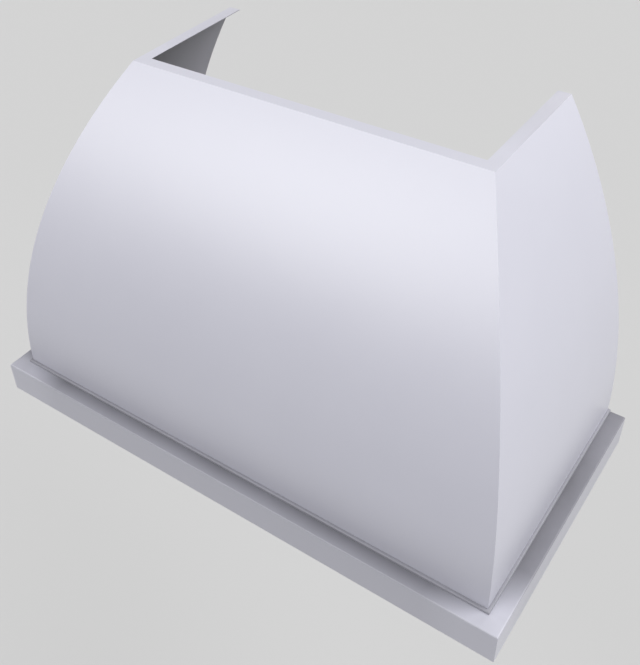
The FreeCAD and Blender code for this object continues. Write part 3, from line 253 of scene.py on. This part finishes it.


# painted shade on the rim: most beside the canopy's foot, less at the corners and on the band
def ledgeShade(finish):
    side = abs(finish.axis("X"))
    front = finish.axis("Y") * -1.0

    def strip(out, along, least):
        near = 1.0 - ((out - rimShade["footHalf"]) / rimShade["ledgeWidth"]).clamped()
        run = ((rimShade["footHalf"] - along) / rimShade["cornerRun"]).clamped()
        corner = rimShade["cornerShare"] + run * (1.0 - rimShade["cornerShare"])
        return (least + near * (rimShade["most"] - least)) * corner

    height = finish.axis("Z") - coat["ledgeLevel"]
    onTop = (height / rimShade["edgeRun"] + rimShade["edgeShift"]).clamped()
    upper = rimShade["bandShare"] + onTop * (1.0 - rimShade["bandShare"])
    most = strip(front, side, rimShade["frontLeast"]).larger(strip(side, front, rimShade["sideLeast"]))
    return most * upper * (1.0 + finish.mottle.swing(rimShade["swing"]))


# painted shade on the trims along the canopy's foot
def trimShade(finish):
    return rimShade["trim"] + finish.mottle * rimShade["trimMottle"]


bracket = {
    "pale": srgb(176, 178, 184), "deep": srgb(152, 154, 160), "roughness": 0.5, "roughSwing": 0.2,
    "mottleScale": 18.0, "grainScale": 700.0, "grainDepth": 0.00005,
}


def bracketCoat():
    finish = Finish("bracketCoat")
    mottle = finish.noise(bracket["mottleScale"], detail=5.0)
    finish.feed(Base_Color=finish.between(mottle, bracket["deep"], bracket["pale"]))
    finish.feed(Roughness=bracket["roughness"] + mottle.swing(bracket["roughSwing"]))
    finish.bump(finish.noise(bracket["grainScale"]), bracket["grainDepth"])
    return finish.material


steel = {
    "bright": srgb(206, 206, 204), "dull": srgb(170, 171, 172), "roughness": 0.27,
    "lineScale": (9.0, 900.0, 900.0), "lineRough": 0.7, "lineShare": 0.65, "lineSwing": 0.22,
    "lineDepth": 0.00002, "smearScale": 9.0, "smearSwing": 0.12,
}


# the brushed lines run along x, so x has the small scale
def brushedSteel():
    finish = Finish("stainless", Metallic=1.0)
    drawn = finish.node("ShaderNodeMapping", {"vector_type": "POINT"},
                        {"Vector": finish.place, "Scale": steel["lineScale"]})
    lines = finish.noise(1.0, detail=4.0, rough=steel["lineRough"], where=drawn)
    smear = finish.noise(steel["smearScale"], detail=3.0)
    blend = lines.mixed(smear, steel["lineShare"])
    uneven = lines.swing(steel["lineSwing"]) + smear.swing(steel["smearSwing"])
    finish.feed(Base_Color=finish.between(blend, steel["dull"], steel["bright"]))
    finish.feed(Roughness=steel["roughness"] + uneven)
    finish.bump(lines, steel["lineDepth"])
    return finish.material


zincSheet = {
    "bright": srgb(208, 211, 214), "dull": srgb(178, 182, 187), "roughness": 0.4,
    "spangleScale": 105.0, "spangleShare": 0.75, "spangleSwing": 0.12, "spangleDepth": 0.00001,
    "bendScale": 60.0, "bendSwing": 0.1,
}


def galvanisedSheet():
    finish = Finish("galvanisedSheet", Metallic=1.0)
    bend = finish.noise(zincSheet["bendScale"])
    cells = finish.node("ShaderNodeTexVoronoi", {},
                        {"Vector": finish.place, "Scale": zincSheet["spangleScale"]}, "Color")
    spangle = finish.node("ShaderNodeSeparateColor", {}, {"Color": cells}, "Red")
    blend = spangle.mixed(bend, zincSheet["spangleShare"])
    uneven = spangle.swing(zincSheet["spangleSwing"]) + bend.swing(zincSheet["bendSwing"])
    finish.feed(Base_Color=finish.between(blend, zincSheet["dull"], zincSheet["bright"]))
    finish.feed(Roughness=zincSheet["roughness"] + uneven)
    finish.bump(spangle, zincSheet["spangleDepth"])
    return finish.material


# small metal pieces by slot: a bright and a dull tone, a roughness and the scale of the grain
smallMetals = {
    "polished_steel": ("polishedSteel", srgb(222, 222, 222), srgb(196, 198, 200), 0.14, 320.0),
    "zinc_screw": ("zincScrew", srgb(205, 206, 204), srgb(160, 163, 166), 0.3, 900.0),
    "rivet_alloy": ("rivetAlloy", srgb(208, 210, 214), srgb(176, 180, 186), 0.36, 700.0),
    "spring_steel": ("springSteel", srgb(170, 172, 176), srgb(126, 130, 138), 0.3, 600.0),
    "ground_steel": ("groundSteel", srgb(196, 198, 200), srgb(158, 160, 164), 0.2, 800.0),
    "lamp_alloy": ("lampAlloy", srgb(200, 202, 206), srgb(164, 168, 174), 0.42, 500.0),
}
metalGrain = {
    "rough": 0.65, "share": 0.6, "swing": 0.16, "depth": 0.00002,
    "wideRatio": 12.0, "wideSwing": 0.1,
}


def metalPiece(name, bright, dull, roughness, scale):
    finish = Finish(name, Metallic=1.0)
    grain = finish.noise(scale, detail=4.0, rough=metalGrain["rough"])
    wide = finish.noise(scale / metalGrain["wideRatio"])
    uneven = grain.swing(metalGrain["swing"]) + wide.swing(metalGrain["wideSwing"])
    finish.feed(Base_Color=finish.between(grain.mixed(wide, metalGrain["share"]), dull, bright))
    finish.feed(Roughness=roughness + uneven)
    finish.bump(grain, metalGrain["depth"])
    return finish.material


# plastics and moulded looks by slot: a pale and a deep tone and a roughness
plastics = {
    "button_plastic": ("buttonPlastic", srgb(214, 215, 218), srgb(196, 198, 202), 0.38),
    "motor_paint": ("motorPaint", srgb(74, 78, 84), srgb(52, 55, 60), 0.45),
    "black_plastic": ("blackPlastic", srgb(44, 45, 47), srgb(28, 29, 31), 0.5),
    "capacitor_case": ("capacitorCase", srgb(226, 226, 220), srgb(206, 206, 200), 0.42),
}
mouldGrain = {"scale": 2600.0, "share": 0.5, "swing": 0.14, "depth": 0.00003, "wideScale": 40.0}


def mouldedPlastic(name, pale, deep, roughness):
    finish = Finish(name)
    grain = finish.noise(mouldGrain["scale"])
    wide = finish.noise(mouldGrain["wideScale"], detail=3.0)
    finish.feed(Base_Color=finish.between(grain.mixed(wide, mouldGrain["share"]), deep, pale))
    finish.feed(Roughness=roughness + grain.swing(mouldGrain["swing"]))
    finish.bump(grain, mouldGrain["depth"])
    return finish.material


glass = {
    "pale": srgb(248, 248, 246), "deep": srgb(236, 238, 240), "ior": 1.49, "clear": 0.3,
    "roughness": 0.42, "roughSwing": 0.2, "frostScale": 1800.0, "frostDepth": 0.00004,
    "wideScale": 60.0,
}


def frostedGlass():
    finish = Finish("frostedGlass", Transmission_Weight=glass["clear"], IOR=glass["ior"])
    frost = finish.noise(glass["frostScale"])
    wide = finish.noise(glass["wideScale"])
    finish.feed(Base_Color=finish.between(wide, glass["deep"], glass["pale"]))
    finish.feed(Roughness=glass["roughness"] + frost.swing(glass["roughSwing"]))
    finish.bump(frost, glass["frostDepth"])
    return finish.material


finishes = {
    "canopy_coat": paint("panelCoat", panel["innerShadeDeep"], panel["innerShadePale"], innerFaces),
    "bracket_coat": bracketCoat(),
    "stainless": brushedSteel(),
    "galvanised": galvanisedSheet(),
    "frosted_glass": frostedGlass(),
}
for slot, look in smallMetals.items():
    finishes[slot] = metalPiece(*look)
for slot, look in plastics.items():
    finishes[slot] = mouldedPlastic(*look)

# the rims and trims have the canopy's coat with painted shade on it
footCoats = {
    "_rim": paint("rimCoat", rimShade["deep"], rimShade["pale"], ledgeShade),
    "_trim": paint("trimCoat", rimShade["deep"], rimShade["pale"], trimShade),
}

# every CAD node takes the finish of its slot
slotOf = {entry["node"]: entry["material_slot"] for entry in frame["record"]["subparts"]}
for nodeName, item in frame["nodes"].items():
    material = finishes[slotOf[nodeName]]
    for ending, footCoat in footCoats.items():
        if nodeName.endswith(ending):
            material = footCoat
    if not item.material_slots:
        item.data.materials.append(material)
    for index in range(len(item.data.materials)):
        item.data.materials[index] = material
print("finishes given to", len(slotOf), "nodes")


# Fasteners: each one stands where a loose solid of the CAD node is

fastener = {"gap": 0.015, "sharpAngle": 40.0, "mergeDistance": 0.000001}


# lowest and highest corner of each loose solid
def looseSpots(nodeName):
    groups = []
    for vertex in frame["nodes"][nodeName].data.vertices:
        for group in groups:
            if (vertex.co - group[0]).length < fastener["gap"]:
                group.append(vertex.co.copy())
                break
        else:
            groups.append([vertex.co.copy()])
    spots = []
    for group in groups:
        low = Vector(min(point[axis] for point in group) for axis in range(3))
        high = Vector(max(point[axis] for point in group) for axis in range(3))
        spots.append((low, high))
    return spots


def newPiece(name, shape, nodeName, slot):
    bmesh.ops.remove_doubles(shape, verts=shape.verts, dist=fastener["mergeDistance"])
    bmesh.ops.recalc_face_normals(shape, faces=shape.faces)
    for face in shape.faces:
        face.smooth = True
    for edge in shape.edges:
        edge.smooth = edge.calc_face_angle(0.0) < math.radians(fastener["sharpAngle"])
    mesh = bpy.data.meshes.new(name)
    shape.to_mesh(mesh)
    shape.free()
    mesh.materials.append(finishes[slot])
    piece = bpy.data.objects.new(name, mesh)
    bpy.context.scene.collection.objects.link(piece)
    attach(piece, "hood")
    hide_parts(nodeName)


screw = {
    # the way that the heads of each node point
    "heads": {
        "liner_screws": (0.0, 0.0, -1.0),
        "collar_screws": (0.0, 0.0, 1.0),
        "rail_screws": (0.0, -1.0, 0.0),
    },
    "headRadius": 0.004, "headHeight": 0.002, "shoulder": 0.72, "crown": 0.0004,
    "edgeShare": 0.93, "edgeTop": 0.0014, "edgeFoot": 0.0008,
    "crossLength": 0.0044, "crossWidth": 0.0011, "crossDepth": 0.0013, "crossTaper": 0.62,
    "shankRadius": 0.002, "tip": 0.0006, "tipShare": 0.6, "segments": 24, "turnStep": 37.0,
}


def picked(made, kind):
    return [item for item in made["geom"] if isinstance(item, kind)]


# pan head with a cross recess, its bearing face at z = 0 and its shank below
def panScrew(shape, grip):
    half = screw["crossLength"] / 2
    cell = screw["crossLength"] / 3  # three by three cells, without the corner ones, are the cross
    bmesh.ops.create_grid(shape, x_segments=3, y_segments=3, size=half)
    corners = [face for face in shape.faces
               if min(abs(value) for value in face.calc_center_median().xy) > cell / 2]
    bmesh.ops.delete(shape, geom=corners, context="FACES")
    arms, recess = shape.verts[:], shape.faces[:]
    border = [edge for edge in shape.edges if edge.is_boundary]
    narrow = screw["crossWidth"] / cell
    inX = [vert for vert in arms if abs(vert.co.x) < cell]
    inY = [vert for vert in arms if abs(vert.co.y) < cell]
    bmesh.ops.scale(shape, verts=inX, vec=(narrow, 1.0, 1.0))
    bmesh.ops.scale(shape, verts=inY, vec=(1.0, narrow, 1.0))

    radius, level = screw["headRadius"] * screw["shoulder"], screw["headHeight"] - screw["crown"]
    ring = bmesh.ops.create_circle(shape, segments=screw["segments"], radius=radius)["verts"]
    loop = [edge for edge in shape.edges if edge.is_wire]
    bmesh.ops.bridge_loops(shape, edges=border + loop)
    bmesh.ops.translate(shape, verts=arms, vec=(0.0, 0.0, screw["headHeight"]))
    bmesh.ops.translate(shape, verts=ring, vec=(0.0, 0.0, level))
    floor = picked(bmesh.ops.extrude_face_region(shape, geom=recess), bmesh.types.BMVert)
    bmesh.ops.delete(shape, geom=recess, context="FACES")
    bmesh.ops.translate(shape, verts=floor, vec=(0.0, 0.0, -screw["crossDepth"]))
    bmesh.ops.scale(shape, verts=floor, vec=(screw["crossTaper"], screw["crossTaper"], 1.0))

    # the loops down the head and shank: radius and height
    loops = [
        (screw["headRadius"] * screw["edgeShare"], screw["edgeTop"]),
        (screw["headRadius"], screw["edgeFoot"]),
        (screw["headRadius"], 0.0),
        (screw["shankRadius"], 0.0),
        (screw["shankRadius"], screw["tip"] - grip),
        (screw["shankRadius"] * screw["tipShare"], -grip),
    ]
    for newRadius, newLevel in loops:
        grown = bmesh.ops.extrude_edge_only(shape, edges=loop)
        loop, ring = picked(grown, bmesh.types.BMEdge), picked(grown, bmesh.types.BMVert)
        bmesh.ops.scale(shape, verts=ring, vec=(newRadius / radius, newRadius / radius, 1.0))
        bmesh.ops.translate(shape, verts=ring, vec=(0.0, 0.0, newLevel - level))
        radius, level = newRadius, newLevel
    bmesh.ops.contextual_create(shape, geom=loop)


def makeScrews(nodeName, head):
    head = Vector(head)
    aim = Vector((0.0, 0.0, 1.0)).rotation_difference(head).to_matrix().to_4x4()
    whole = bmesh.new()
    for index, (low, high) in enumerate(looseSpots(nodeName)):
        length = abs((high - low).dot(head))
        one = bmesh.new()
        panScrew(one, length - screw["headHeight"])
        turn = Matrix.Rotation(math.radians(screw["turnStep"] * index), 4, "Z")
        seat = (low + high) / 2 + head * (length / 2 - screw["headHeight"])
        bmesh.ops.transform(one, matrix=Matrix.Translation(seat) @ aim @ turn, verts=one.verts)
        part = bpy.data.meshes.new("oneScrew")
        one.to_mesh(part)
        one.free()
        whole.from_mesh(part)
        bpy.data.meshes.remove(part)
    newPiece(nodeName.replace("_s", "S"), whole, nodeName, "zinc_screw")


rivet = {
    "headRadius": 0.0046, "headHeight": 0.0016, "shankRadius": 0.0024, "steps": 24,
    # half of a head's section from the crown out, in shares of its radius and height
    "dome": ((0.0, 0.0), (0.45, 0.1), (0.8, 0.38), (0.98, 0.8), (1.0, 1.0)),
}


# domed head at both ends of the shank, spun from half of its section
def makeRivets():
    dome = [(out * rivet["headRadius"], down * rivet["headHeight"]) for out, down in rivet["dome"]]
    dome.append((rivet["shankRadius"], rivet["headHeight"]))
    whole = bmesh.new()
    for low, high in looseSpots("canopy_rivets"):
        middle = (low + high) / 2
        section = [(radius, high.z - drop) for radius, drop in dome]
        section += [(radius, low.z + drop) for radius, drop in reversed(dome)]
        points = [whole.verts.new((middle.x + radius, middle.y, level))
                  for radius, level in section]
        edges = [whole.edges.new(pair) for pair in zip(points, points[1:])]
        bmesh.ops.spin(whole, geom=points + edges, cent=(middle.x, middle.y, 0.0),
                       axis=(0.0, 0.0, 1.0), angle=math.tau, steps=rivet["steps"], use_merge=True)
    newPiece("canopyRivets", whole, "canopy_rivets", "rivet_alloy")


for nodeName, head in screw["heads"].items():
    makeScrews(nodeName, head)
makeRivets()
print("fasteners made")


# Floor, light and camera

studio = {
    "floorGrey": srgb(142, 142, 142), "floorRoughness": 0.9, "floorGlow": 0.55,
    "floorBounce": srgb(118, 118, 120), "floorSize": 60.0, "floorDrop": 2.2,
    "backdrop": srgb(211, 211, 211),
    # each lamp: turn from the front and height in degrees, power, and spread in degrees
    "lamps": {
        "key": (108.0, 50.0, 2.95, 55.0),
        "front": (-30.0, 25.0, 1.17, 30.0),
        "high": (-25.0, 50.0, 0.52, 30.0),
        "left": (-60.0, 25.0, 0.15, 30.0),
        "back": (180.0, 9.0, 1.4, 30.0),
    },
}


# camera, glossy and transmitted rays, so that metal and glass show the pale stage too
def seenRays(nodes):
    seen = nodes.node("ShaderNodeLightPath", {}, {}, "Is Camera Ray")
    for kind in ("Is Glossy Ray", "Is Transmission Ray"):
        seen = seen + nodes.node("ShaderNodeLightPath", {}, {}, kind)
    return seen.clamped()


# the hood hangs at its mounting height, so the floor lies well below it
def makeFloor():
    low = cadBox[0][2] - studio["floorDrop"]
    shape = bmesh.new()
    bmesh.ops.create_grid(shape, x_segments=1, y_segments=1, size=studio["floorSize"] / 2)
    bmesh.ops.translate(shape, verts=shape.verts, vec=(0.0, 0.0, low))
    mesh = bpy.data.meshes.new("floor")
    shape.to_mesh(mesh)
    shape.free()
    floor = bpy.data.objects.new("floor", mesh)
    bpy.context.scene.collection.objects.link(floor)
    finish = Finish("floorGrey", Base_Color=studio["floorGrey"],
                    Roughness=studio["floorRoughness"], Specular_IOR_Level=0.0,
                    Emission_Color=studio["backdrop"], Emission_Strength=studio["floorGlow"])
    dim = finish.node("ShaderNodeBsdfDiffuse", {}, {"Color": studio["floorBounce"]})
    pale = Flow(finish, finish.shader.outputs[0])
    finish.show(finish.node("ShaderNodeMixShader", {}, {0: seenRays(finish), 1: dim, 2: pale}))
    floor.data.materials.append(finish.material)


def makeLamps():
    for name, (turn, height, power, spread) in studio["lamps"].items():
        turn, height = math.radians(turn), math.radians(height)
        flat = math.cos(height)
        source = Vector((math.sin(turn) * flat, -math.cos(turn) * flat, math.sin(height)))
        light = bpy.data.lights.new(name, "SUN")
        light.energy = power
        light.angle = math.radians(spread)
        lamp = bpy.data.objects.new(name, light)
        lamp.rotation_mode = "QUATERNION"
        lamp.rotation_quaternion = source.to_track_quat("Z", "Y")
        bpy.context.scene.collection.objects.link(lamp)


# the backdrop is seen, but gives no light of its own
def makeWorld():
    world = bpy.data.worlds.new("studio")
    world.use_nodes = True
    nodes = Nodes(world.node_tree)
    pale, dark = (nodes.node("ShaderNodeBackground", {},
                             {"Color": studio["backdrop"], "Strength": strength})
                  for strength in (1.0, 0.0))
    mixed = nodes.node("ShaderNodeMixShader", {}, {0: seenRays(nodes), 1: dark, 2: pale})
    nodes.plug(nodes.tree.nodes["World Output"].inputs["Surface"], mixed)
    bpy.context.scene.world = world


# found by fitting the hood's corners to the photograph: metres, degrees and pixels
cameraFit = {
    "place": (0.8583, -1.4911, 1.3361), "yaw": 37.14, "pitch": 38.44, "roll": -2.60,
    "focal": 936.0, "centre": (283.7, 282.2), "image": (640.0, 665.0), "sensor": 36.0,
}


def makeCamera():
    yaw, pitch, roll = (math.radians(cameraFit[key]) for key in ("yaw", "pitch", "roll"))
    flat = math.cos(pitch)
    ahead = Vector((-math.sin(yaw) * flat, math.cos(yaw) * flat, -math.sin(pitch)))
    right = Vector((math.cos(yaw), math.sin(yaw), 0.0))
    above = right.cross(ahead)
    right, above = (right * math.cos(roll) + above * math.sin(roll),
                    above * math.cos(roll) - right * math.sin(roll))
    wide, high = cameraFit["image"]
    longest = max(wide, high)
    lens = bpy.data.cameras.new("camera")
    lens.sensor_width = cameraFit["sensor"]
    lens.lens = cameraFit["sensor"] * cameraFit["focal"] / longest
    lens.shift_x = (wide / 2 - cameraFit["centre"][0]) / longest
    lens.shift_y = (cameraFit["centre"][1] - high / 2) / longest
    camera = bpy.data.objects.new("camera", lens)
    turn = Matrix((right, above, -ahead)).transposed().to_4x4()
    camera.matrix_world = Matrix.Translation(Vector(cameraFit["place"])) @ turn
    bpy.context.scene.collection.objects.link(camera)
    bpy.context.scene.camera = camera


makeFloor()
makeLamps()
makeWorld()
makeCamera()
bpy.context.scene.view_settings.view_transform = "Standard"
print("stage ready")
